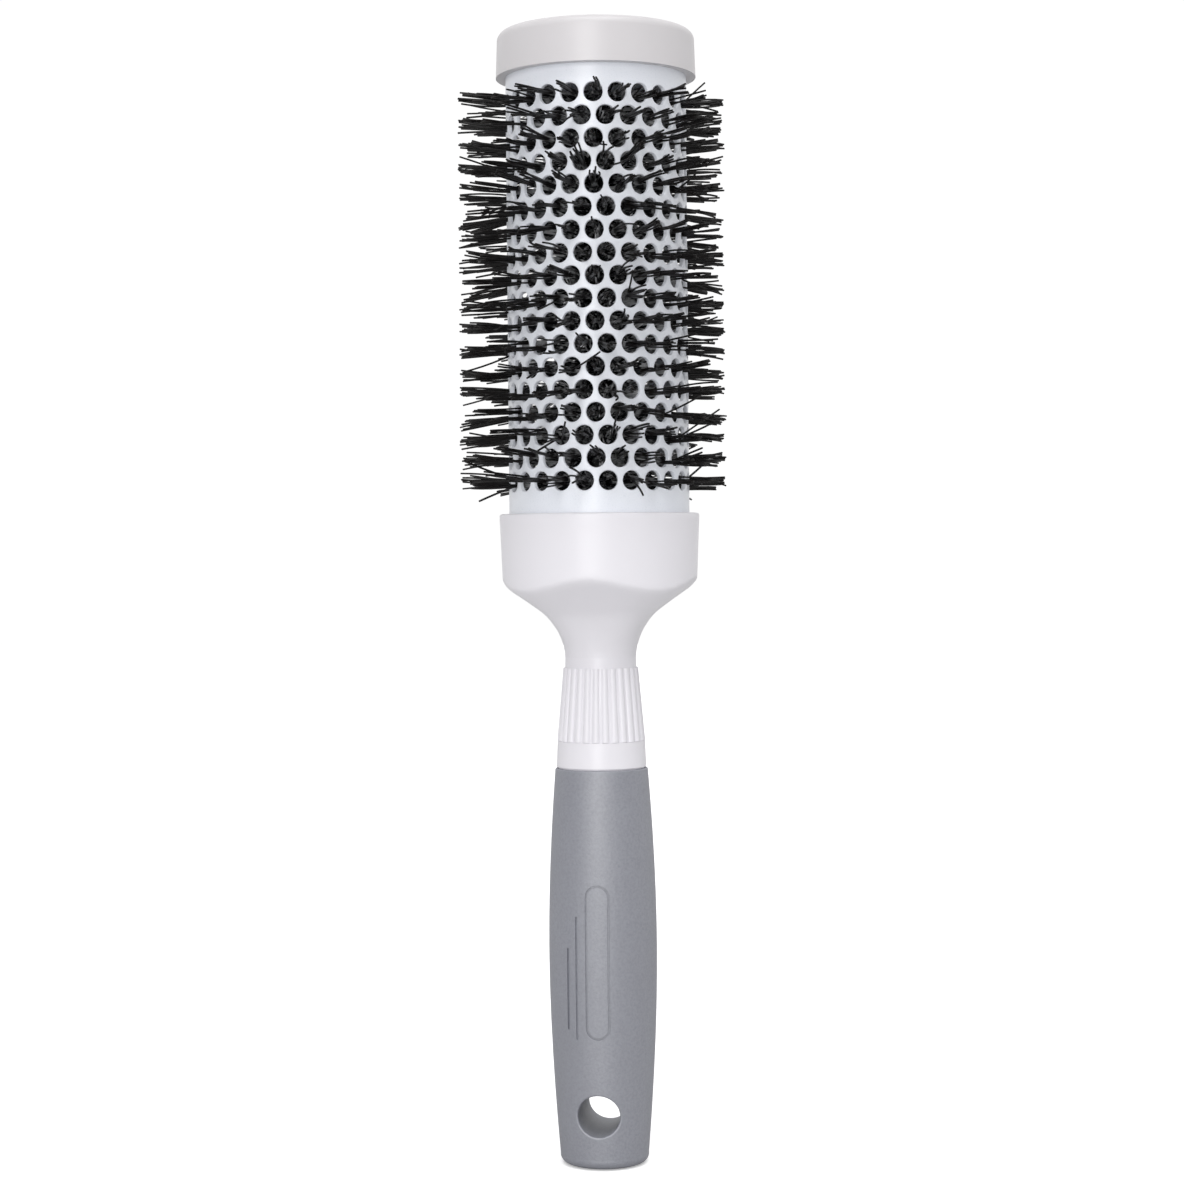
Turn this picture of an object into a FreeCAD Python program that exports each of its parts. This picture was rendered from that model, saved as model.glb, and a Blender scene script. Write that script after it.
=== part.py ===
"""Round barrel brush: vented ceramic tube, nylon bristles on a twisted wire core, rubber grip.

Millimetres. The brush stands on its butt: the origin is the middle of the butt, +Z runs along
the axis to the end cap, and the hanging hole runs along Y.
"""
import FreeCAD, Part
import math
import os
import Sketcher
from FreeCAD import Placement, Rotation, Vector

OUT_DIR = "parts"
ZERO = Vector(0, 0, 0)
UP = Vector(0, 0, 1)

# name, value in millimetres (angles in degrees, counts as plain numbers)
SIZES = [
    # barrel: perforated tube
    ("barrel_radius", 20.0),
    ("barrel_wall", 0.9),
    ("barrel_low", 131.6),
    ("barrel_high", 248.5),
    ("vent_radius", 2.1),
    ("vent_rows", 18),
    ("vents_per_row", 24),
    ("vent_row_low", 151.15),
    ("vent_row_pitch", 4.888),
    ("vent_turn", -1.6),
    # bristle rings
    ("tip_radius", 29.2),
    ("tuft_radius", 0.48),
    ("root_ring_outer", 4.0),
    ("root_ring_inner", 1.62),
    ("root_ring_tall", 1.6),
    # twisted wire core
    ("wire_radius", 0.78),
    ("wire_offset", 0.80),
    ("wire_pitch", 9.0),
    ("wire_low", 119.0),
    ("wire_high", 247.1),
    # end cap
    ("cap_radius", 22.1),
    ("cap_draft", 0.35),
    ("cap_low", 240.5),
    ("cap_high", 250.6),
    ("cap_round", 2.0),
    ("cap_roof", 248.7),
    ("tube_fit", 0.05),
    ("spigot_wall", 1.5),
    ("spigot_tall", 5.6),
    ("boss_radius", 4.2),
    ("boss_low", 242.3),
    ("core_bore", 1.65),
    # collar cup
    ("collar_low", 131.0),
    ("collar_high", 144.25),
    ("collar_low_radius", 21.66),
    ("collar_high_radius", 22.2),
    ("collar_round", 0.6),
    ("cup_floor", 131.5),
    # ferrule and band
    ("throat_high", 112.4),
    ("throat_radius", 7.88),
    ("ferrule_low", 93.85),
    ("ferrule_high", 110.1),
    ("ferrule_low_radius", 9.28),
    ("ferrule_high_radius", 7.95),
    ("rib_count", 27),
    ("rib_rod_low", 0.9),
    ("rib_rod_high", 0.78),
    ("rib_proud", 0.5),
    ("band_low_radius", 9.98),
    ("band_high_radius", 9.72),
    ("joint_gap", 0.35),
    ("joint_depth", 0.4),
    # grip and tang
    ("grip_high", 87.8),
    ("grip_r_a", 9.85),
    ("grip_z_a", 2.2),
    ("grip_r_b", 11.0),
    ("grip_z_b", 17.8),
    ("grip_r_c", 12.0),
    ("grip_z_c", 49.5),
    ("grip_r_d", 11.1),
    ("grip_z_d", 76.0),
    ("grip_r_e", 10.28),
    ("butt_round", 1.8),
    ("grip_edge", 0.35),
    ("tang_low", 18.6),
    ("tang_low_radius", 7.0),
    ("tang_high_radius", 7.8),
    # hanging hole
    ("hang_height", 11.95),
    ("hang_radius", 4.65),
    ("hang_lip", 0.35),
    # plain debossed outline and lines on the grip's front
    ("motif_depth", 0.28),
    ("motif_line", 0.5),
    ("motif_low", 29.0),
    ("motif_high", 63.0),
    ("motif_wide", 5.4),
    ("motif_shift", 0.3),
    ("rule_gap", 2.0),
]

# height above the butt, half-width across the flats of the rounded-square funnel
FUNNEL = [
    (112.4, 7.88), (114.2, 8.06), (116.4, 8.6), (119.1, 9.66), (121.8, 11.45),
    (124.4, 14.65), (127.1, 18.35), (129.5, 21.8), (132.0, 25.6),
]
FUNNEL_CORNER = 0.18    # how much further out the corners stand than the flats
FUNNEL_BLEND = 1.5      # width of the soft crease where the funnel meets the collar

doc = FreeCAD.newDocument("RoundBarrelBrush")
sheet = doc.addObject("Spreadsheet::Sheet", "dims")
for line, (alias, value) in enumerate(SIZES, start=1):
    sheet.set(f"A{line}", alias)
    sheet.set(f"B{line}", str(value))
    sheet.setAlias(f"B{line}", alias)
for step, (height, half) in enumerate(FUNNEL, start=1):
    for column, word, value in (("D", "funnel_height", height), ("E", "funnel_half", half)):
        sheet.set(f"{column}{step}", str(value))
        sheet.setAlias(f"{column}{step}", f"{word}_{'abcdefghi'[step - 1]}")
doc.recompute()

NODES = []


def size(alias):
    """One plain number from the sheet."""
    return float(sheet.get(alias))


def plane(body, role):
    """A plane or axis of the body's own origin."""
    return next(f for f in body.Origin.OriginFeatures if f.Role == role)


def new_body(label):
    body = doc.addObject("PartDesign::Body", label)
    body.Label = label
    return body


def keep(obj, label):
    """Marks an object as one sub-part, with its own label and placement."""
    obj.Label = label
    NODES.append(obj)
    return obj


def new_sketch(body, name, role):
    sketch = body.newObject("Sketcher::SketchObject", name)
    sketch.AttachmentSupport = [(plane(body, role), "")]
    sketch.MapMode = "FlatFace"
    return sketch


def bind_point(sketch, geo, end, across, up):
    """Holds a sketch point at two sheet expressions; across is None for a point on the axis."""
    if across is None:
        sketch.addConstraint(Sketcher.Constraint("PointOnObject", geo, end, -2))
    else:
        index = sketch.addConstraint(Sketcher.Constraint("DistanceX", -1, 1, geo, end, 1.0))
        sketch.setExpression(f"Constraints[{index}]", across)
    if up is None:
        sketch.addConstraint(Sketcher.Constraint("PointOnObject", geo, end, -1))
    else:
        index = sketch.addConstraint(Sketcher.Constraint("DistanceY", -1, 1, geo, end, 1.0))
        sketch.setExpression(f"Constraints[{index}]", up)


def value_of(expression):
    """Works out one sheet expression with the sheet's numbers."""
    if expression is None:
        return 0.0
    total, sign = 0.0, 1.0
    for token in expression.replace("dims.", "").split():
        if token in "+-":
            sign = 1.0 if token == "+" else -1.0
        else:
            total += sign * (size(token) if token[0].isalpha() else float(token))
    return total


def profile(body, name, corners, curve=None):
    """A closed outline in the XZ plane from (across, up) expressions.

    curve is (index, points): the side after that corner is a spline through those points.
    """
    sketch = new_sketch(body, name, "XZ_Plane")
    spots = [Vector(value_of(a), value_of(u), 0) for a, u in corners]
    count = len(spots)
    for i in range(count):
        start, stop = spots[i], spots[(i + 1) % count]
        if curve and curve[0] == i:
            spline = Part.BSplineCurve()
            spline.interpolate([start] + curve[1] + [stop])
            sketch.addGeometry(spline, False)
        else:
            sketch.addGeometry(Part.LineSegment(start, stop), False)
    for i in range(count):
        sketch.addConstraint(Sketcher.Constraint("Coincident", i, 2, (i + 1) % count, 1))
    for i, (across, up) in enumerate(corners):
        bind_point(sketch, i, 1, across, up)
    return sketch


def revolve(body, sketch, name, kind="PartDesign::Revolution"):
    feature = body.newObject(kind, name)
    feature.Profile = sketch
    feature.ReferenceAxis = (sketch, ["V_Axis"])
    feature.Angle = 360
    doc.recompute()
    return feature


def round_edges(body, base, name, radius, wanted):
    """Fillets the edges of base that wanted picks."""
    names = [f"Edge{i}" for i, edge in enumerate(base.Shape.Edges, start=1) if wanted(edge)]
    fillet = body.newObject("PartDesign::Fillet", name)
    fillet.Base = (base, names)
    fillet.Radius = size(radius)
    fillet.setExpression("Radius", f"dims.{radius}")
    doc.recompute()
    return fillet


def ring_edge(height, radius):
    """Picks a circle round the axis at one height and radius."""
    def wanted(edge):
        curve = edge.Curve
        return (isinstance(curve, Part.Circle) and abs(curve.Center.z - height) < 1e-3
                and abs(curve.Radius - radius) < 1e-3)
    return wanted


def polar(body, feature, name, count):
    pattern = body.newObject("PartDesign::PolarPattern", name)
    pattern.Originals = [feature]
    pattern.Axis = (plane(body, "Z_Axis"), [""])
    pattern.Angle = 360
    pattern.Occurrences = int(size(count))
    pattern.setExpression("Occurrences", f"dims.{count}")
    body.Tip = pattern
    doc.recompute()
    return pattern


# ---------------------------------------------------------------- barrel
def make_barrel():
    """Tube with 18 staggered rows of round vents."""
    outer = doc.addObject("Part::Cylinder", "barrel_outside")
    outer.setExpression("Radius", "dims.barrel_radius")
    inner = doc.addObject("Part::Cylinder", "barrel_inside")
    inner.setExpression("Radius", "dims.barrel_radius - dims.barrel_wall")
    for piece in (outer, inner):
        piece.setExpression("Height", "dims.barrel_high - dims.barrel_low")
        piece.Placement = Placement(Vector(0, 0, size("barrel_low")), Rotation())
    tube = doc.addObject("Part::Cut", "barrel_tube")
    tube.Base, tube.Tool = outer, inner
    rows, per_row = int(size("vent_rows")), int(size("vents_per_row"))
    start = size("barrel_radius") - size("barrel_wall") - 1.0
    drills = []
    for row in range(rows):
        for vent in range(per_row):
            turn = -90 + size("vent_turn") + (vent + (row % 2) / 2) * 360.0 / per_row
            out = Vector(math.cos(math.radians(turn)), math.sin(math.radians(turn)), 0)
            foot = out * start
            foot.z = size("vent_row_low") + row * size("vent_row_pitch")
            drills.append(Part.makeCylinder(size("vent_radius"), 3.0, foot, out))
    vents = doc.addObject("Part::Feature", "vent_drills")
    vents.Shape = Part.makeCompound(drills)
    vents.Placement = Placement()
    barrel = doc.addObject("Part::Cut", "barrel")
    barrel.Base, barrel.Tool = tube, vents
    doc.recompute()
    lost = tube.Shape.Volume - barrel.Shape.Volume
    one = math.pi * size("vent_radius") ** 2 * size("barrel_wall")
    print(f"barrel: {lost / one:.1f} vents' worth of wall removed")
    return keep(barrel, "barrel")


# ---------------------------------------------------------------- bristle rings
def make_bristle_row(row):
    """One ring of tufts, counted from the collar, joined by a thin ring of roots at the core."""
    label = f"bristle_row_{row + 1:02d}"
    body = new_body(label)
    facet = 180.0 / size("vents_per_row")
    ring = body.newObject("PartDesign::AdditivePrism", f"{label}_ring")
    ring.Polygon = int(size("vents_per_row"))
    ring.setExpression("Polygon", "dims.vents_per_row")
    ring.Circumradius = size("root_ring_outer")
    ring.setExpression("Circumradius", f"dims.root_ring_outer / cos({facet} deg)")
    ring.Height = size("root_ring_tall")
    ring.setExpression("Height", "dims.root_ring_tall")
    ring.AttachmentSupport = [(plane(body, "XY_Plane"), "")]
    ring.MapMode = "FlatFace"
    ring.AttachmentOffset = Placement(Vector(0, 0, -size("root_ring_tall") / 2),
                                      Rotation(UP, facet))
    doc.recompute()
    tuft = body.newObject("PartDesign::AdditiveCylinder", f"{label}_tuft")
    tuft.Radius = size("tuft_radius")
    tuft.setExpression("Radius", "dims.tuft_radius")
    start = size("root_ring_outer") - 0.5
    tuft.Height = size("tip_radius") - start
    tuft.setExpression("Height", "dims.tip_radius - dims.root_ring_outer + 0.5")
    tuft.AttachmentSupport = [(plane(body, "XZ_Plane"), "")]
    tuft.MapMode = "FlatFace"
    tuft.AttachmentOffset = Placement(Vector(0, 0, start), Rotation())
    doc.recompute()
    polar(body, tuft, f"{label}_tufts", "vents_per_row")
    bore = body.newObject("PartDesign::SubtractiveCylinder", f"{label}_bore")
    bore.Radius = size("root_ring_inner")
    bore.setExpression("Radius", "dims.root_ring_inner")
    bore.Height = 4 * size("root_ring_tall")
    bore.AttachmentSupport = [(plane(body, "XY_Plane"), "")]
    bore.MapMode = "FlatFace"
    bore.AttachmentOffset = Placement(Vector(0, 0, -2 * size("root_ring_tall")), Rotation())
    body.Tip = bore
    doc.recompute()
    height = size("vent_row_low") + row * size("vent_row_pitch")
    turn = size("vent_turn") + (row % 2) * 180.0 / size("vents_per_row")
    body.Placement = Placement(Vector(0, 0, height), Rotation(UP, turn))
    return keep(body, label)


# ---------------------------------------------------------------- twisted wire core
def make_wire(label, turn):
    """One of the two wires that are twisted round each other and grip the bristle roots."""
    path = doc.addObject("Part::Helix", f"{label}_path")
    path.setExpression("Radius", "dims.wire_offset")
    path.setExpression("Pitch", "dims.wire_pitch")
    path.setExpression("Height", "dims.wire_high - dims.wire_low")
    section = doc.addObject("Part::Circle", f"{label}_section")
    section.setExpression("Radius", "dims.wire_radius")
    along = Vector(0, 2 * math.pi * size("wire_offset"), size("wire_pitch"))
    section.Placement = Placement(Vector(size("wire_offset"), 0, 0), Rotation(UP, along))
    doc.recompute()
    wire = doc.addObject("Part::Sweep", label)
    wire.Sections = [section]
    wire.Spine = (path, [f"Edge{i + 1}" for i in range(len(path.Shape.Edges))])
    wire.Solid = True
    wire.Frenet = True
    doc.recompute()
    wire.Placement = Placement(Vector(0, 0, size("wire_low")), Rotation(UP, turn))
    length = (size("wire_high") - size("wire_low")) / size("wire_pitch") * along.Length
    share = wire.Shape.Volume / (math.pi * size("wire_radius") ** 2 * length)
    print(f"{label}: {length:.0f} mm long, volume {share:.3f} of section times length")
    return keep(wire, label)


# ---------------------------------------------------------------- end cap
def make_end_cap():
    """Cap over the tube's far end: skirt outside, spigot inside, and a boss for the core."""
    body = new_body("end_cap")
    inner = "dims.barrel_radius - dims.barrel_wall - dims.tube_fit"
    outline = profile(body, "cap_outline", [
        (None, "dims.cap_high"),
        ("dims.cap_radius - dims.cap_draft", "dims.cap_high"),
        ("dims.cap_radius", "dims.cap_low"),
        ("dims.barrel_radius + dims.tube_fit", "dims.cap_low"),
        ("dims.barrel_radius + dims.tube_fit", "dims.cap_roof"),
        (inner, "dims.cap_roof"),
        (inner, "dims.cap_roof - dims.spigot_tall"),
        (f"{inner} - dims.spigot_wall", "dims.cap_roof - dims.spigot_tall"),
        (f"{inner} - dims.spigot_wall", "dims.cap_roof"),
        ("dims.boss_radius", "dims.cap_roof"),
        ("dims.boss_radius", "dims.boss_low"),
        ("dims.core_bore", "dims.boss_low"),
        ("dims.core_bore", "dims.wire_high + 1.0"),
        (None, "dims.wire_high + 1.0"),
    ])
    solid = revolve(body, outline, "cap_solid")
    rim = round_edges(body, solid, "cap_edge", "cap_round",
                      ring_edge(size("cap_high"), size("cap_radius") - size("cap_draft")))
    body.Tip = rim
    doc.recompute()
    return keep(body, "end_cap")


# ---------------------------------------------------------------- neck moulding
def funnel_half(height):
    """Half-width of the funnel at one height: a smooth curve through the sheet's stations."""
    zs = [size(f"funnel_height_{c}") for c in "abcdefghi"]
    ws = [size(f"funnel_half_{c}") for c in "abcdefghi"]
    height = min(max(height, zs[0]), zs[-1])
    k = max(i for i in range(len(zs) - 1) if zs[i] <= height)
    slopes = []
    for i in range(len(zs)):
        lo, hi = max(i - 1, 0), min(i + 1, len(zs) - 1)
        slopes.append((ws[hi] - ws[lo]) / (zs[hi] - zs[lo]))
    slopes[0] = 0.0
    span = zs[k + 1] - zs[k]
    u = (height - zs[k]) / span
    return ((2 * u ** 3 - 3 * u ** 2 + 1) * ws[k] + (u ** 3 - 2 * u ** 2 + u) * span * slopes[k]
            + (3 * u ** 2 - 2 * u ** 3) * ws[k + 1] + (u ** 3 - u ** 2) * span * slopes[k + 1])


def funnel_radius(turn, height):
    """Rounded square that opens upward and melts into the round collar."""
    grow = min(max((height - 113.0) / 9.0, 0.0), 1.0)
    corner = FUNNEL_CORNER * grow * grow * (3 - 2 * grow)
    square = funnel_half(height) * (1 + corner * (1 - math.cos(4 * turn)) / 2)
    low, high = size("collar_low"), size("collar_high")
    lean = (size("collar_high_radius") - size("collar_low_radius")) / (high - low)
    cup = size("collar_low_radius") + lean * (height - low)
    near = max(FUNNEL_BLEND - abs(square - cup), 0.0) / FUNNEL_BLEND
    return min(square, cup) - near * near * FUNNEL_BLEND / 4


def make_funnel():
    """Loft from the round throat through the rounded-square funnel to the collar's rim."""
    low, foot, rim = size("throat_high"), size("collar_low"), size("collar_high")
    edge = size("collar_round")
    heights = [low + 0.9 * i for i in range(int((124.0 - low) / 0.9) + 1)]
    while heights[-1] < foot - 0.55:
        heights.append(heights[-1] + 0.55)
    heights += [foot + 0.3, foot + 1.2, foot + 3.0, foot + 6.0, foot + 9.5, rim - edge]
    rings = []
    for height in heights:
        round_ring = height == low or height > foot + 2.0
        if round_ring:
            circle = Part.Circle(Vector(0, 0, height), UP, funnel_radius(0.0, height))
            rings.append(Part.Wire([circle.toShape()]))
            continue
        spots = []
        for i in range(32):
            turn = 2 * math.pi * i / 32
            radius = funnel_radius(turn, height)
            spots.append(Vector(radius * math.cos(turn), radius * math.sin(turn), height))
        curve = Part.BSplineCurve()
        curve.interpolate(spots, PeriodicFlag=True)
        rings.append(Part.Wire([curve.toShape()]))
    for part in (0.4, 0.75, 0.95, 1.0):
        drop = edge * (1 - math.sqrt(1 - part * part))
        circle = Part.Circle(Vector(0, 0, rim - edge + edge * part), UP,
                             funnel_radius(0.0, rim) - drop)
        rings.append(Part.Wire([circle.toShape()]))
    funnel = doc.addObject("Part::Feature", "funnel")
    funnel.Shape = Part.makeLoft(rings, True, False)
    funnel.Placement = Placement()
    return funnel


def make_neck():
    """One moulding: tang in the grip, band, ribbed ferrule, funnel and collar cup."""
    body = new_body("neck_stem")
    stem_outline = profile(body, "stem_outline", [
        (None, "dims.tang_low"),
        ("dims.tang_low_radius", "dims.tang_low"),
        ("dims.tang_high_radius", "dims.grip_high"),
        ("dims.band_low_radius - dims.joint_depth", "dims.grip_high"),
        ("dims.band_low_radius - dims.joint_depth", "dims.grip_high + dims.joint_gap"),
        ("dims.band_low_radius", "dims.grip_high + dims.joint_gap"),
        ("dims.band_high_radius", "dims.ferrule_low"),
        ("dims.ferrule_low_radius", "dims.ferrule_low"),
        ("dims.ferrule_high_radius", "dims.ferrule_high"),
        ("dims.throat_radius", "dims.throat_high"),
        (None, "dims.throat_high"),
    ])
    revolve(body, stem_outline, "stem")
    drop = size("ferrule_high") - size("ferrule_low")
    lean = math.degrees(math.atan2(size("ferrule_low_radius") - size("ferrule_high_radius"), drop))
    rib = body.newObject("PartDesign::AdditiveCone", "rib")
    rib.Radius1 = size("rib_rod_low")
    rib.setExpression("Radius1", "dims.rib_rod_low")
    rib.Radius2 = size("rib_rod_high")
    rib.setExpression("Radius2", "dims.rib_rod_high")
    rib.Height = drop
    rib.setExpression("Height", "dims.ferrule_high - dims.ferrule_low")
    rib.AttachmentSupport = [(plane(body, "XY_Plane"), "")]
    rib.MapMode = "FlatFace"
    reach = size("ferrule_low_radius") + size("rib_proud") - size("rib_rod_low")
    rib.AttachmentOffset = Placement(Vector(0, -reach, size("ferrule_low")),
                                     Rotation(Vector(1, 0, 0), -lean))
    doc.recompute()
    polar(body, rib, "ribs", "rib_count")
    cup = doc.addObject("Part::Cylinder", "cup_hollow")
    cup.setExpression("Radius", "dims.barrel_radius + dims.tube_fit")
    cup.setExpression("Height", "dims.collar_high - dims.cup_floor + 1")
    spigot = doc.addObject("Part::Cylinder", "spigot_outside")
    spigot.setExpression("Radius", "dims.barrel_radius - dims.barrel_wall - dims.tube_fit")
    spigot.setExpression("Height", "dims.spigot_tall")
    hollow = doc.addObject("Part::Cylinder", "spigot_inside")
    hollow.setExpression(
        "Radius", "dims.barrel_radius - dims.barrel_wall - dims.tube_fit - dims.spigot_wall")
    hollow.setExpression("Height", "dims.spigot_tall + 1")
    for piece in (cup, spigot, hollow):
        piece.Placement = Placement(Vector(0, 0, size("cup_floor")), Rotation())
    ring = doc.addObject("Part::Cut", "spigot_ring")
    ring.Base, ring.Tool = spigot, hollow
    room = doc.addObject("Part::Cut", "cup_room")
    room.Base, room.Tool = cup, ring
    whole = doc.addObject("Part::Fuse", "neck_whole")
    whole.Base, whole.Tool = body, make_funnel()
    bore = doc.addObject("Part::Cylinder", "core_socket")
    bore.setExpression("Radius", "dims.core_bore")
    bore.setExpression("Height", "dims.cup_floor - dims.wire_low + 11")
    bore.Placement = Placement(Vector(0, 0, size("wire_low") - 1.0), Rotation())
    holes = doc.addObject("Part::MultiFuse", "neck_holes")
    holes.Shapes = [room, bore]
    neck = doc.addObject("Part::Cut", "neck")
    neck.Base, neck.Tool = whole, holes
    doc.recompute()
    return keep(neck, "neck")


def make_hang_cutter(name):
    """Cylinder along Y that opens the hanging hole."""
    cutter = doc.addObject("Part::Cylinder", name)
    cutter.setExpression("Radius", "dims.hang_radius")
    cutter.setExpression("Height", "2 * dims.grip_r_c + 4")
    cutter.Placement = Placement(Vector(0, size("grip_r_c") + 2, size("hang_height")),
                                 Rotation(Vector(1, 0, 0), 90))
    return cutter


# ---------------------------------------------------------------- grip
def grip_outline(body, name, inset):
    """Outside of the grip as a full outline to the axis, all of it inset by the given depth."""
    def shrink(alias):
        return f"dims.{alias} - {inset}" if inset else f"dims.{alias}"
    waist = [Vector(size(f"grip_r_{c}") - inset, size(f"grip_z_{c}"), 0) for c in "bcd"]
    return profile(body, name, [
        (None, None),
        (shrink("grip_r_a"), None),
        (shrink("grip_r_a"), "dims.grip_z_a"),
        (shrink("grip_r_e"), "dims.grip_high"),
        (None, "dims.grip_high"),
    ], curve=(2, waist))


def make_motif(floor):
    """Shallow grooves above a floor surface: a plain long outline, two plain rules beside it."""
    low, high = size("motif_low"), size("motif_high")
    line = size("motif_line")

    def pill(middle, wide, bottom, top):
        radius = wide / 2
        left, right = middle - radius, middle + radius
        lower = Part.Arc(Vector(left, 0, bottom + radius), Vector(middle, 0, bottom),
                         Vector(right, 0, bottom + radius))
        upper = Part.Arc(Vector(right, 0, top - radius), Vector(middle, 0, top),
                         Vector(left, 0, top - radius))
        sides = [Part.makeLine(Vector(right, 0, bottom + radius), Vector(right, 0, top - radius)),
                 Part.makeLine(Vector(left, 0, top - radius), Vector(left, 0, bottom + radius))]
        wire = Part.Wire([lower.toShape(), sides[0], upper.toShape(), sides[1]])
        return Part.Face(wire).extrude(Vector(0, -20, 0))

    middle, wide = size("motif_shift"), size("motif_wide")
    outline = pill(middle, wide, low, high).cut(
        pill(middle, wide - 2 * line, low + line, high - line))
    left = middle - wide / 2
    rules = [pill(left - size("rule_gap") * k, line, low + 2.0 * (k - 1), high - 7.0 * k)
             for k in (1, 2)]
    motif = doc.addObject("Part::Feature", "motif_grooves")
    motif.Shape = Part.makeCompound(
        [solid for prism in outline.Solids + rules for solid in prism.cut(floor).Solids])
    motif.Placement = Placement()
    return motif


def make_grip():
    """Soft sleeve over the tang, with the hanging hole and a shallow plain outline in front."""
    outside = new_body("grip_outside")
    solid = revolve(outside, grip_outline(outside, "grip_outline", 0), "grip_solid")
    butt = round_edges(outside, solid, "grip_butt", "butt_round",
                       ring_edge(0.0, size("grip_r_a")))
    edge = round_edges(outside, butt, "grip_top_edge", "grip_edge",
                       ring_edge(size("grip_high"), size("grip_r_e")))
    outside.Tip = edge
    deep = new_body("grip_deep")
    revolve(deep, grip_outline(deep, "grip_deep_outline", size("motif_depth")), "grip_deep_solid")
    tang = new_body("grip_hollow")
    revolve(tang, profile(tang, "grip_hollow_outline", [
        (None, "dims.tang_low"),
        ("dims.tang_low_radius", "dims.tang_low"),
        ("dims.tang_high_radius", "dims.grip_high"),
        (None, "dims.grip_high"),
    ]), "grip_hollow_solid")
    doc.recompute()
    groove = make_motif(deep.Shape)
    holes = doc.addObject("Part::MultiFuse", "grip_holes")
    holes.Shapes = [tang, make_hang_cutter("hang_cutter_grip")]
    sleeve = doc.addObject("Part::Cut", "grip_sleeve")
    sleeve.Base, sleeve.Tool = outside, holes
    doc.recompute()
    lip = doc.addObject("Part::Fillet", "grip_lip")
    lip.Base = sleeve
    reach = size("hang_radius") + 0.01
    picks = []
    for i, one in enumerate(sleeve.Shape.Edges, start=1):
        box, middle = one.BoundBox, one.CenterOfMass
        round_mouth = box.ZMin > size("hang_height") - reach and box.ZMax < size("hang_height") + reach
        if round_mouth and abs(middle.y) > size("tang_low_radius") + 1 and box.XLength > 2:
            picks.append((i, size("hang_lip"), size("hang_lip")))
    lip.Edges = picks
    grip = doc.addObject("Part::Cut", "grip")
    grip.Base, grip.Tool = lip, groove
    doc.recompute()
    print(f"grip: {len(picks)} mouth edges rounded")
    return keep(grip, "grip")


make_end_cap()
make_barrel()
make_wire("core_wire_a", 0)
make_wire("core_wire_b", 180)
for index in range(int(size("vent_rows"))):
    make_bristle_row(index)
make_neck()
make_grip()
doc.recompute()

bad = [o.Name for o in doc.Objects if "Invalid" in o.State or "Error" in o.State]
for node in NODES:
    shape = node.Shape
    if shape.isNull() or not shape.isValid() or not shape.Solids:
        bad.append(node.Label)
if bad:
    raise SystemExit(f"failed objects: {bad}")
os.makedirs(OUT_DIR, exist_ok=True)
for node in NODES:
    node.Shape.exportStep(f"{OUT_DIR}/{node.Label}.step")
    box = node.Shape.BoundBox
    print(f"{node.Label}: {len(node.Shape.Solids)} solid, {node.Shape.Volume / 1000:.2f} cm3, "
          f"z {box.ZMin:.2f} to {box.ZMax:.2f}, half-width {box.XMax:.2f}")
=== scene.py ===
"""Looks of the round barrel brush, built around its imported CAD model.

Metres, in the CAD's own frame: the brush stands on its butt, +Z towards the end cap.
"""
import math
import random

import bmesh
import bpy
from mathutils import Matrix, Vector


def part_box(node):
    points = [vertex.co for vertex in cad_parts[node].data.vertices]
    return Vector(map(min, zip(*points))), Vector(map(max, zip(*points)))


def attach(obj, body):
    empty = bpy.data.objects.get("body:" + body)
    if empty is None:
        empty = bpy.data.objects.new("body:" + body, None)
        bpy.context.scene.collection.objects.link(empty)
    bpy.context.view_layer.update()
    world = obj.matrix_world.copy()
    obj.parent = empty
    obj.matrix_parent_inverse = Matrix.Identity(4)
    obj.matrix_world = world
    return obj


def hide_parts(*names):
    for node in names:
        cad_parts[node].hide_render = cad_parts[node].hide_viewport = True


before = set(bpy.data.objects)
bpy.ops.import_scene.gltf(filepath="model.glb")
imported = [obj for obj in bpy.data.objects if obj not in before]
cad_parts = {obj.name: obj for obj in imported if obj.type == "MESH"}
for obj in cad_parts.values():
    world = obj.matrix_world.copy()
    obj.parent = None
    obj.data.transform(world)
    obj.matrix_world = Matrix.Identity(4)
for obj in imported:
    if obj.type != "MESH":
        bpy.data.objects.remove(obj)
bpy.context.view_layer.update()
MM = 0.001
UP = Vector((0, 0, 1))

# ---------------------------------------------------------------- sizes shared with the CAD
ROWS = 18
VENTS = 24                          # vents in one row
VENT_TURN = math.radians(-1.6)      # direction of the lowest row's first vent, from -Y towards +X
VENT_STEP = math.radians(15.0)
VENT_PITCH = 4.888 * MM
VENT_RADIUS = 2.1 * MM
BARREL_RADIUS = 20.0 * MM
BARREL_WALL = 0.9 * MM
TIP_RADIUS = 29.2 * MM              # cylinder that the bristles are trimmed to


def row_name(row):
    return f"bristle_row_{row + 1:02d}"


def row_height(row):
    low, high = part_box(row_name(row))
    return (low[2] + high[2]) / 2


def direction(turn):
    """Unit vector out from the axis, turned from -Y towards +X."""
    return Vector((math.sin(turn), -math.cos(turn), 0.0))


def tangent(turn):
    """Unit vector round the axis, square to direction(turn)."""
    return Vector((math.cos(turn), math.sin(turn), 0.0))


def vent_turn(row, vent):
    """Direction of a vent: every second row is moved on by half a step."""
    return VENT_TURN + (vent + (row % 2) / 2) * VENT_STEP


def new_piece(name, verts, faces, body="root"):
    mesh = bpy.data.meshes.new(name)
    mesh.from_pydata(verts, [], faces)
    mesh.validate()
    mesh.shade_smooth()
    piece = bpy.data.objects.new(name, mesh)
    bpy.context.scene.collection.objects.link(piece)
    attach(piece, body)
    return piece


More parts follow.
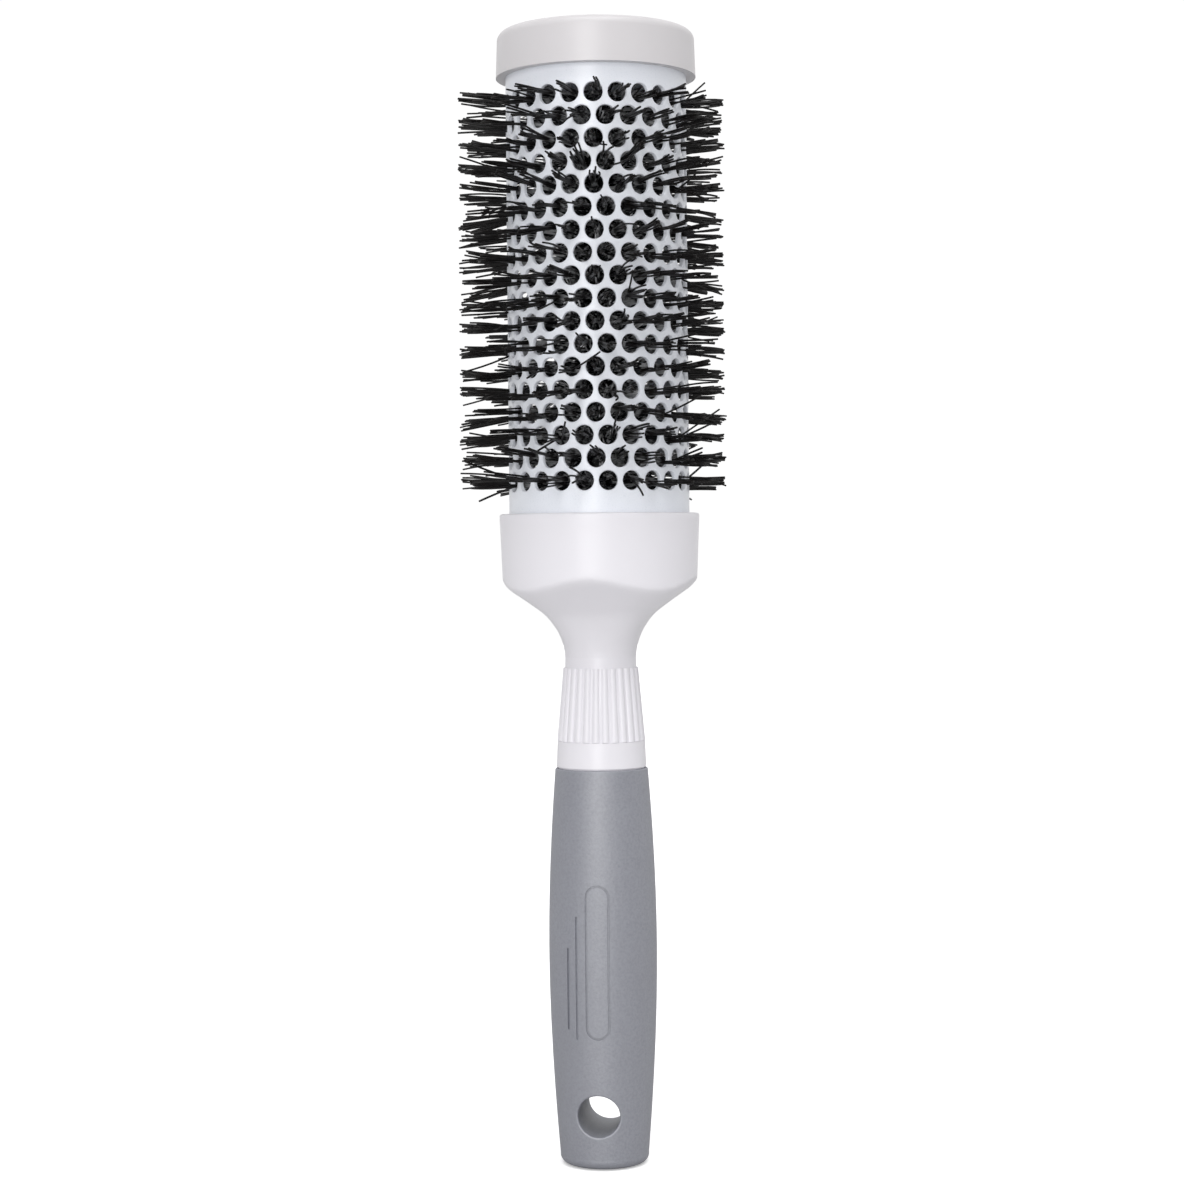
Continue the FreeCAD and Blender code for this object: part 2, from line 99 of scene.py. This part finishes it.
# ---------------------------------------------------------------- materials
class Nodes:
    """Small helper that builds a procedural material on a Principled shader.

    Noise scales are in waves per metre, and bump distances in metres.
    """

    def __init__(self, name):
        self.material = bpy.data.materials.new(name)
        self.material.use_nodes = True
        self.tree = self.material.node_tree
        self.tree.nodes.clear()
        self.out = self.tree.nodes.new("ShaderNodeOutputMaterial")
        self.shader = self.tree.nodes.new("ShaderNodeBsdfPrincipled")
        self.link(self.shader.outputs[0], self.out.inputs["Surface"])
        self.place = self.tree.nodes.new("ShaderNodeNewGeometry").outputs["Position"]

    def link(self, start, end):
        self.tree.links.new(start, end)

    def feed(self, name, socket):
        """Links a socket to one of the shader's inputs."""
        self.link(socket, self.shader.inputs[name])

    def constant(self, **sockets):
        for name, value in sockets.items():
            self.shader.inputs[name.replace("_", " ")].default_value = value

    def noise(self, scale, detail=3.0, rough=0.55, stretch=None):
        node = self.tree.nodes.new("ShaderNodeTexNoise")
        node.inputs["Scale"].default_value = scale
        node.inputs["Detail"].default_value = detail
        node.inputs["Roughness"].default_value = rough
        source = self.place
        if stretch:
            mapping = self.tree.nodes.new("ShaderNodeMapping")
            mapping.inputs["Scale"].default_value = stretch
            self.link(source, mapping.inputs["Vector"])
            source = mapping.outputs[0]
        self.link(source, node.inputs["Vector"])
        return node.outputs["Fac"]

    def from_axis(self):
        """Distance from the brush's axis."""
        flat = self.tree.nodes.new("ShaderNodeVectorMath")
        flat.operation = "MULTIPLY"
        flat.inputs[1].default_value = (1.0, 1.0, 0.0)
        self.link(self.place, flat.inputs[0])
        length = self.tree.nodes.new("ShaderNodeVectorMath")
        length.operation = "LENGTH"
        self.link(flat.outputs["Vector"], length.inputs[0])
        return length.outputs["Value"]

    def ramp(self, fac, first, last):
        """Blend between two colours, each given with the value at which it is plain."""
        node = self.tree.nodes.new("ShaderNodeValToRGB")
        for stop, (position, colour) in zip(node.color_ramp.elements, (first, last)):
            stop.position = position
            stop.color = (*colour, 1)
        self.link(fac, node.inputs["Fac"])
        return node.outputs["Color"]

    def span(self, fac, low, high, start=0.0, stop=1.0):
        """Maps start..stop onto low..high."""
        node = self.tree.nodes.new("ShaderNodeMapRange")
        node.inputs["From Min"].default_value = start
        node.inputs["From Max"].default_value = stop
        node.inputs["To Min"].default_value = low
        node.inputs["To Max"].default_value = high
        self.link(fac, node.inputs["Value"])
        return node.outputs["Result"]

    def mix(self, fac, first, second):
        """Blend of two colours, each a socket or a plain colour."""
        node = self.tree.nodes.new("ShaderNodeMix")
        node.data_type = "RGBA"
        self.link(fac, node.inputs["Factor"])
        for socket, value in ((node.inputs[6], first), (node.inputs[7], second)):
            if isinstance(value, tuple):
                socket.default_value = (*value, 1)
            else:
                self.link(value, socket)
        return node.outputs[2]

    def bump(self, height, strength, distance, below=None):
        node = self.tree.nodes.new("ShaderNodeBump")
        node.inputs["Strength"].default_value = strength
        node.inputs["Distance"].default_value = distance
        self.link(height, node.inputs["Height"])
        if below is not None:
            self.link(below, node.inputs["Normal"])
        return node.outputs["Normal"]


def plastic(name, light, dark, rough, grain):
    """Moulded plastic: faint flow mottling, fine surface grain, slightly uneven gloss."""
    m = Nodes(name)
    mottle = m.noise(38, 3, 0.6, stretch=(1, 1, 0.4))
    m.feed("Base Color", m.ramp(mottle, (0.3, dark), (0.7, light)))
    m.feed("Roughness", m.span(m.noise(260, 2), rough - 0.03, rough + 0.04))
    m.feed("Normal", m.bump(m.noise(2600, 2, 0.5), grain, 0.04 * MM))
    m.constant(Coat_Weight=0.12, Coat_Roughness=0.28)
    return m.material


def ceramic(name):
    """Pale ceramic coat: fine sprayed speckle over the tube, satin gloss."""
    m = Nodes(name)
    cloud = m.ramp(m.noise(55, 3, 0.6), (0.3, (0.84, 0.865, 0.93)), (0.7, (0.875, 0.90, 0.955)))
    speck = m.span(m.noise(3400, 2, 0.7), 0.0, 1.0, start=0.56, stop=0.72)
    m.feed("Base Color", m.mix(speck, cloud, (0.78, 0.815, 0.88)))
    m.feed("Roughness", m.span(m.noise(900, 3), 0.30, 0.42))
    m.feed("Normal", m.bump(m.noise(2300, 3, 0.6), 0.16, 0.05 * MM))
    m.constant(Coat_Weight=0.25, Coat_Roughness=0.18)
    return m.material


def rubber(name):
    """Soft-touch rubber: fine grain with faint clouds and a broad soft sheen."""
    m = Nodes(name)
    cloud = m.noise(70, 4, 0.65, stretch=(1, 1, 0.5))
    base = m.ramp(cloud, (0.25, (0.188, 0.194, 0.234)), (0.75, (0.220, 0.228, 0.272)))
    grain = m.span(m.noise(1700, 3, 0.65), 0.0, 0.75, start=0.40, stop=0.72)
    m.feed("Base Color", m.mix(grain, base, (0.138, 0.144, 0.178)))
    m.feed("Roughness", m.span(m.noise(500, 3), 0.50, 0.62))
    fine = m.bump(m.noise(1900, 3, 0.6), 0.55, 0.12 * MM)
    m.feed("Normal", m.bump(m.noise(700, 2, 0.5), 0.15, 0.15 * MM, fine))
    m.constant(IOR=2.0, Specular_IOR_Level=0.9)
    return m.material


def nylon(name):
    """Drawn nylon filament, near black. Inside the tube it is painted paler, with pale streaks as
    painted glints on it.
    """
    m = Nodes(name)
    black = m.ramp(m.noise(900, 2, 0.5),
                   (0.35, (0.0025, 0.0020, 0.0020)), (0.7, (0.0075, 0.0055, 0.0052)))
    # painted light: inside the tube, where little real light reaches, the filaments get a paler colour
    # and pale streaks as painted glints
    painted_glints = m.ramp(m.noise(320, 1, 0.5), (0.46, (0.02, 0.02, 0.022)), (0.60, (0.72, 0.725, 0.74)))
    outside = m.span(m.from_axis(), 0.0, 1.0, start=GLINTS_FADE, stop=GLINTS_END)
    m.feed("Base Color", m.mix(outside, painted_glints, black))
    m.feed("Roughness", m.span(outside, 0.26, 0.42))
    m.feed("Normal", m.bump(m.noise(5000, 2), 0.2, 0.02 * MM))
    m.constant(Specular_IOR_Level=0.3)
    return m.material


def steel(name):
    """Galvanised core wire with faint spangle."""
    m = Nodes(name)
    spangle = m.noise(420, 2)
    m.feed("Base Color", m.ramp(spangle, (0.3, (0.34, 0.34, 0.35)), (0.7, (0.52, 0.52, 0.53))))
    m.feed("Roughness", m.span(m.noise(1500, 2), 0.28, 0.5))
    m.feed("Normal", m.bump(m.noise(2500, 2), 0.2, 0.03 * MM))
    m.constant(Metallic=1.0)
    return m.material


def floor_paint(name):
    """Pale floor that looks white but throws back less light, as a grey card under it would."""
    m = Nodes(name)
    m.feed("Base Color", m.ramp(m.noise(3, 2), (0.3, (0.93, 0.93, 0.93)), (0.7, (0.95, 0.95, 0.95))))
    m.feed("Roughness", m.span(m.noise(20, 2), 0.75, 0.85))
    m.constant(Emission_Color=(1, 1, 1, 1), Emission_Strength=FLOOR_GLOW)
    bounce = m.tree.nodes.new("ShaderNodeBsdfDiffuse")
    bounce.inputs["Color"].default_value = (FLOOR_BOUNCE, FLOOR_BOUNCE, FLOOR_BOUNCE, 1)
    seen = m.tree.nodes.new("ShaderNodeLightPath")
    pick = m.tree.nodes.new("ShaderNodeMixShader")
    m.link(seen.outputs["Is Camera Ray"], pick.inputs[0])
    m.link(bounce.outputs[0], pick.inputs[1])
    m.link(m.shader.outputs[0], pick.inputs[2])
    m.link(pick.outputs[0], m.out.inputs["Surface"])
    return m.material


GLINTS_FADE = 16.5 * MM             # from the axis: the streaks fade out between these two,
GLINTS_END = 19.5 * MM              # just inside the tube's wall
FLOOR_GLOW = 0.32                   # what the floor adds to look white
FLOOR_BOUNCE = 0.56                 # share of light that it throws back at the brush

CAP = plastic("cap_plastic", light=(0.65, 0.63, 0.645), dark=(0.625, 0.605, 0.62),
              rough=0.36, grain=0.08)
WHITE = plastic("white_plastic", light=(0.812, 0.796, 0.838), dark=(0.800, 0.784, 0.826),
                rough=0.35, grain=0.06)
CERAMIC = ceramic("ceramic_coat")
RUBBER = rubber("grip_rubber")
NYLON = nylon("nylon_bristle")
STEEL = steel("core_steel")


def dress(piece, material):
    piece.data.materials.clear()
    piece.data.materials.append(material)


# ---------------------------------------------------------------- barrel
ACROSS, UPRIGHT = 10, 4         # steps along the sides of one vent's cell
RIM = [(0.25, 0.0), (0.10, 0.02), (0.02, 0.10), (0.0, 0.9)]   # beyond the hole, below the face, mm
PLAIN_STEPS = 4                 # hoops in the plain stretch at each end
WELD = 0.002 * MM
CREASE = math.radians(60)       # sharper edges stay sharp


def cell_border():
    """Border of one vent's cell: (turn in half cells, height in half pitches), going round."""
    spots = []
    spots += [(-1 + 2 * k / ACROSS, -1.0) for k in range(ACROSS)]
    spots += [(1.0, -1 + 2 * k / UPRIGHT) for k in range(UPRIGHT)]
    spots += [(1 - 2 * k / ACROSS, 1.0) for k in range(ACROSS)]
    spots += [(-1.0, 1 - 2 * k / UPRIGHT) for k in range(UPRIGHT)]
    return spots


def build_barrel():
    """Tube whose vents have softly rounded, coated rims."""
    low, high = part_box("barrel")
    border = cell_border()
    half_wide = BARREL_RADIUS * VENT_STEP / 2
    half_tall = VENT_PITCH / 2
    inside = BARREL_RADIUS - BARREL_WALL
    verts, faces = [], []

    def add(turn, height, radius):
        spot = direction(turn) * radius
        verts.append((spot.x, spot.y, height))
        return len(verts) - 1

    def bridge(first, second):
        count = len(first)
        for k in range(count):
            after = (k + 1) % count
            faces.append((first[k], first[after], second[after], second[k]))

    def cell_ring(turn, height, radius):
        return [add(turn + x * VENT_STEP / 2, height + y * half_tall, radius) for x, y in border]

    def rim_ring(turn, height, beyond, below):
        radius = VENT_RADIUS + beyond * MM
        ring = []
        for x, y in border:
            angle = math.atan2(y * half_tall, x * half_wide)
            ring.append(add(turn + radius * math.cos(angle) / BARREL_RADIUS,
                            height + radius * math.sin(angle), BARREL_RADIUS - below * MM))
        return ring

    def hoop(height, radius, turn):
        around = VENTS * ACROSS
        return [add(turn + 2 * math.pi * k / around, height, radius) for k in range(around)]

    for row in range(ROWS):
        height = row_height(row)
        for vent in range(VENTS):
            turn = vent_turn(row, vent)
            rings = [cell_ring(turn, height, BARREL_RADIUS)]
            rings += [rim_ring(turn, height, beyond, below) for beyond, below in RIM]
            rings.append(cell_ring(turn, height, inside))
            for first, second in zip(rings, rings[1:]):
                bridge(first, second)

    first_row, last_row = row_height(0), row_height(ROWS - 1)
    for start, stop, row, upward in ((low[2], first_row - half_tall, 0, False),
                                     (last_row + half_tall, high[2], ROWS - 1, True)):
        turn = vent_turn(row, 0) - VENT_STEP / 2
        heights = [start + (stop - start) * k / PLAIN_STEPS for k in range(PLAIN_STEPS + 1)]
        outer = [hoop(h, BARREL_RADIUS, turn) for h in heights]
        inner = [hoop(h, inside, turn) for h in heights]
        for a, b in zip(outer, outer[1:]):
            bridge(a, b)
        for a, b in zip(inner, inner[1:]):
            bridge(b, a)
        end = (outer[-1], inner[-1]) if upward else (inner[0], outer[0])
        bridge(*end)
    barrel = new_piece("barrel_shell", verts, faces)
    work = bmesh.new()
    work.from_mesh(barrel.data)
    bmesh.ops.remove_doubles(work, verts=work.verts, dist=WELD)
    bmesh.ops.recalc_face_normals(work, faces=work.faces)
    for edge in work.edges:
        if len(edge.link_faces) == 2 and edge.calc_face_angle(0) > CREASE:
            edge.smooth = False
    work.to_mesh(barrel.data)
    work.free()
    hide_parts("barrel")
    dress(barrel, CERAMIC)


# ---------------------------------------------------------------- bristles
# A lean is a slope. Pairs of spreads are sideways, then upwards.
FIELD_SHIFT = Vector((-1.25 * MM, -0.2 * MM, 0))     # the tips are trimmed slightly off the axis
WALL_MIDDLE = BARREL_RADIUS - BARREL_WALL / 2
ROW_LEAN = 0.05                     # spread of a whole ring's upward lean
ROW_SWAY = (0.03, 0.09)             # range of how much that lean varies round the ring
FIRST_SEED = 4100                   # seed of the lowest ring

CLUMPS = (1, 1, 2, 2)               # how many clumps a vent may have
CLUMP_REACH = 1.15                  # furthest middle of a clump from its vent's middle, mm
CLUMP_LEAN = (0.07, 0.045)

FILAMENTS = (4, 5, 5, 6, 6, 7)      # how many filaments a vent may have
SPREAD = 0.28                       # of filaments about their clump's middle, mm
EXIT_REACH = 1.72                   # furthest exit of a filament from its vent's middle, mm
LEAN = (0.05, 0.038)
FAN = (0.03, 0.01)                  # lean away from the vent's middle, for each mm from it
STRAYS = 0.045                      # share of strays
STRAY_LEAN = (0.30, 0.26)
TRIM = (-0.1, 0.25)                 # mean and spread of a tip past the trimmed cylinder, mm
SHORT = 0.08                        # share of short filaments
SHORT_BY = (0.8, 4.0)               # mm
CURL = (0.45, 0.35)                 # bow of the free part, mm

ROOT_RADIUS = 1.75 * MM             # where filaments leave the wire core
ROOT_TURN = 0.35                    # spread of the roots round the core, radians
ROOT_RISE = 1.9                     # and along it, mm

INNER_COUNT = VENTS * 3             # short filaments of one ring that end inside the tube
INNER_ROOT_RISE = 2.4               # mm
INNER_REACH = (16.0, 18.4)          # distance of their ends from the axis, mm
INNER_TURN = 0.25                   # radians
INNER_RISE = 4.2                    # mm
INNER_BOW = 1.2                     # mm

SIDES = 6                           # of a filament's section
RADII = (0.205, 0.24)               # range of a filament's radius, mm
INNER_RADIUS = 0.2 * MM
TIP_LENGTH = 0.07 * MM
TIP_TAPER = (0.94, 0.55)            # share of the radius at the start and end of the tip


def tube(verts, faces, path, radii):
    """Adds a closed slim tube along a path, with a radius for each of its points."""
    start = len(verts)
    for k, spot in enumerate(path):
        ahead = (path[min(k + 1, len(path) - 1)] - path[max(k - 1, 0)]).normalized()
        across = ahead.cross(UP)
        if across.length < 1e-4:
            across = ahead.cross(Vector((1, 0, 0)))
        across.normalize()
        over = across.cross(ahead)
        for j in range(SIDES):
            angle = 2 * math.pi * j / SIDES
            point = spot + (across * math.cos(angle) + over * math.sin(angle)) * radii[k]
            verts.append(tuple(point))
    for k in range(len(path) - 1):
        for j in range(SIDES):
            a, b = start + k * SIDES + j, start + k * SIDES + (j + 1) % SIDES
            faces.append((a, b, b + SIDES, a + SIDES))
    last = start + (len(path) - 1) * SIDES
    faces.append(tuple(range(start + SIDES - 1, start - 1, -1)))
    faces.append(tuple(range(last, last + SIDES)))


def bezier(a, b, c, steps):
    """Quadratic curve from a to c that leans towards b."""
    return [a * (1 - u) ** 2 + b * 2 * u * (1 - u) + c * u * u
            for u in (k / steps for k in range(steps + 1))]


def tip_at(base, way):
    """Distance along way from base to the trimmed cylinder of the tips."""
    flat_base = Vector((base.x, base.y)) - FIELD_SHIFT.xy
    flat_way = way.xy
    a = flat_way.dot(flat_way)
    b = 2 * flat_base.dot(flat_way)
    c = flat_base.dot(flat_base) - TIP_RADIUS ** 2
    return (-b + math.sqrt(b * b - 4 * a * c)) / (2 * a)


def make_clump(vent_lean, chance):
    """A clump's middle in its vent, in mm sideways and up, and its leans sideways and up."""
    angle = chance.uniform(0, 2 * math.pi)
    reach = CLUMP_REACH * math.sqrt(chance.random())
    return (reach * math.cos(angle), reach * math.sin(angle),
            chance.gauss(0, CLUMP_LEAN[0]), vent_lean + chance.gauss(0, CLUMP_LEAN[1]))


def vent_filament(turn, height, clump, chance):
    """Path and radii of one filament: from the core, out through its vent, to its trimmed tip."""
    out, side = direction(turn), tangent(turn)
    x, y, lean_x, lean_y = clump
    x += chance.gauss(0, SPREAD)
    y += chance.gauss(0, SPREAD)
    shrink = min(1.0, EXIT_REACH / max(math.hypot(x, y), 1e-6))
    x, y = x * shrink, y * shrink
    lean_x += chance.gauss(0, LEAN[0]) + FAN[0] * x
    lean_y += chance.gauss(0, LEAN[1]) + FAN[1] * y
    if chance.random() < STRAYS:
        lean_x += chance.gauss(0, STRAY_LEAN[0])
        lean_y += chance.gauss(0, STRAY_LEAN[1])
    exit_spot = out * WALL_MIDDLE + side * (x * MM) + UP * (y * MM)
    exit_spot.z += height
    root = direction(turn + chance.gauss(0, ROOT_TURN)) * ROOT_RADIUS
    root.z = height + chance.gauss(0, ROOT_RISE) * MM
    way = (out + side * lean_x + UP * lean_y).normalized()
    length = tip_at(exit_spot, way) + chance.gauss(*TRIM) * MM
    if chance.random() < SHORT:
        length -= chance.uniform(*SHORT_BY) * MM
    curl = (side * chance.gauss(0, CURL[0]) + UP * chance.gauss(0, CURL[1])) * MM
    path = bezier(root, exit_spot - way * (WALL_MIDDLE * 0.4), exit_spot, 4)
    path += bezier(exit_spot, exit_spot + way * length * 0.5 + curl, exit_spot + way * length, 5)[1:]
    path.append(path[-1] + (path[-1] - path[-2]).normalized() * TIP_LENGTH)
    thick = chance.uniform(*RADII) * MM
    return path, [thick] * (len(path) - 2) + [thick * share for share in TIP_TAPER]


def inner_filament(height, chance):
    """Path and radii of one short filament, which ends inside the tube."""
    turn = chance.uniform(0, 2 * math.pi)
    root = direction(turn) * ROOT_RADIUS
    root.z = height + chance.uniform(-INNER_ROOT_RISE, INNER_ROOT_RISE) * MM
    reach = chance.uniform(*INNER_REACH) * MM
    end = direction(turn + chance.gauss(0, INNER_TURN)) * reach
    end.z = root.z + chance.gauss(0, INNER_RISE) * MM
    middle = (root + end) / 2 + UP * (chance.gauss(0, INNER_BOW) * MM)
    return bezier(root, middle, end, 4), [INNER_RADIUS] * 4 + [INNER_RADIUS * 0.6]


def build_row(row, chance):
    """One ring of bristles. All its random draws come from chance, in a fixed order."""
    verts, faces = [], []
    height = row_height(row)
    row_lean, sway, phase = chance.gauss(0, ROW_LEAN), chance.uniform(*ROW_SWAY), chance.uniform(0, 6.3)
    for vent in range(VENTS):
        turn = vent_turn(row, vent)
        vent_lean = row_lean + sway * math.sin(2 * turn + phase)
        clumps = [make_clump(vent_lean, chance) for _ in range(chance.choice(CLUMPS))]
        for _ in range(chance.choice(FILAMENTS)):
            tube(verts, faces, *vent_filament(turn, height, chance.choice(clumps), chance))
    for _ in range(INNER_COUNT):
        tube(verts, faces, *inner_filament(height, chance))
    piece = new_piece(f"bristles_{row + 1:02d}", verts, faces)
    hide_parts(row_name(row))
    dress(piece, NYLON)


build_barrel()
for row in range(ROWS):
    build_row(row, random.Random(FIRST_SEED + row))

dress(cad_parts["end_cap"], CAP)
dress(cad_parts["neck"], WHITE)
dress(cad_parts["grip"], RUBBER)
dress(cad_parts["core_wire_a"], STEEL)
dress(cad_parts["core_wire_b"], STEEL)

# ---------------------------------------------------------------- floor, light, camera
FLOOR_HALF = 3.0
FLOOR_DROP = 0.2 * MM               # keeps the floor's plane clear of the butt's
BACKDROP = 1.02                     # brightness of the world where the camera sees it
LIGHT_AIM = 0.13                    # height that the key light looks at


def sky_way(azimuth, elevation):
    """Unit vector towards a light, from degrees round from -Y towards +X and degrees up."""
    a, e = math.radians(azimuth), math.radians(elevation)
    return direction(a) * math.cos(e) + UP * math.sin(e)


def place_light(light, way, spot):
    """Adds a light at a spot, shining back along way."""
    lamp = bpy.data.objects.new(light.name, light)
    lamp.location = spot
    lamp.rotation_euler = way.to_track_quat("Z", "Y").to_euler()
    bpy.context.scene.collection.objects.link(lamp)


def build_floor():
    mesh = bpy.data.meshes.new("floor")
    corners = [(x * FLOOR_HALF, y * FLOOR_HALF, 0) for x, y in ((-1, -1), (1, -1), (1, 1), (-1, 1))]
    mesh.from_pydata(corners, [], [(0, 1, 2, 3)])
    floor = bpy.data.objects.new("floor", mesh)
    bpy.context.scene.collection.objects.link(floor)
    floor.location.z = -FLOOR_DROP
    floor.data.materials.append(floor_paint("floor_paint"))


def soft_box(name, azimuth, elevation, distance, wide, tall, power):
    """Rectangular soft light that looks at the brush's middle."""
    light = bpy.data.lights.new(name, "AREA")
    light.shape = "RECTANGLE"
    light.size, light.size_y, light.energy = wide, tall, power
    way = sky_way(azimuth, elevation)
    place_light(light, way, way * distance + UP * LIGHT_AIM)


def high_sun(azimuth, elevation, spread, power):
    """Very soft light from high up that evens out the floor."""
    light = bpy.data.lights.new("high_sun", "SUN")
    light.energy, light.angle = power, math.radians(spread)
    place_light(light, sky_way(azimuth, elevation), (0, 0, 0))


def build_world(front, back):
    """White studio: dimmer on the viewer's side, bright behind, plain white as the backdrop."""
    world = bpy.data.worlds.new("studio")
    world.use_nodes = True
    tree = world.node_tree
    ground = tree.nodes["Background"]
    ground.inputs["Color"].default_value = (1.0, 1.0, 1.0, 1)
    place = tree.nodes.new("ShaderNodeTexCoord")
    split = tree.nodes.new("ShaderNodeSeparateXYZ")
    fade = tree.nodes.new("ShaderNodeMapRange")
    fade.interpolation_type = "SMOOTHSTEP"
    for name, value in (("From Min", -0.5), ("From Max", 0.7), ("To Min", front), ("To Max", back)):
        fade.inputs[name].default_value = value
    seen = tree.nodes.new("ShaderNodeLightPath")
    pick = tree.nodes.new("ShaderNodeMix")
    pick.inputs[3].default_value = BACKDROP
    tree.links.new(place.outputs["Generated"], split.inputs[0])
    tree.links.new(split.outputs["Y"], fade.inputs["Value"])
    tree.links.new(seen.outputs["Is Camera Ray"], pick.inputs["Factor"])
    tree.links.new(fade.outputs["Result"], pick.inputs[2])
    tree.links.new(pick.outputs[0], ground.inputs["Strength"])
    bpy.context.scene.world = world


CAMERA_TURN = math.radians(7.6)     # from -Y towards +X
CAMERA_AWAY = 0.5715
CAMERA_HEIGHT = 0.137
AIM_HEIGHT = 0.12684
AIM_SIDE = -1.8 * MM
CAMERA_ROLL = math.radians(-0.5)
SENSOR_WIDTH = 36.0                 # mm
FOCAL_LENGTH = 78.2                 # mm
NEAREST = 10 * MM


def build_camera():
    out, side = direction(CAMERA_TURN), tangent(CAMERA_TURN)
    camera = bpy.data.objects.new("camera", bpy.data.cameras.new("camera"))
    camera.data.sensor_width = SENSOR_WIDTH
    camera.data.lens = FOCAL_LENGTH
    camera.data.clip_start = NEAREST
    camera.location = out * CAMERA_AWAY + UP * CAMERA_HEIGHT
    aim = side * AIM_SIDE + UP * AIM_HEIGHT
    turn = (camera.location - aim).to_track_quat("Z", "Y").to_matrix().to_4x4()
    spin = turn @ Matrix.Rotation(CAMERA_ROLL, 4, "Z")
    camera.rotation_euler = spin.to_euler()
    bpy.context.scene.collection.objects.link(camera)
    bpy.context.scene.camera = camera


build_floor()
build_world(front=0.36, back=0.95)
high_sun(azimuth=15, elevation=66, spread=50, power=1.5)
soft_box("key", azimuth=-3, elevation=8, distance=1.0, wide=0.4, tall=0.9, power=5.3)
build_camera()
bpy.context.scene.view_settings.view_transform = "Standard"
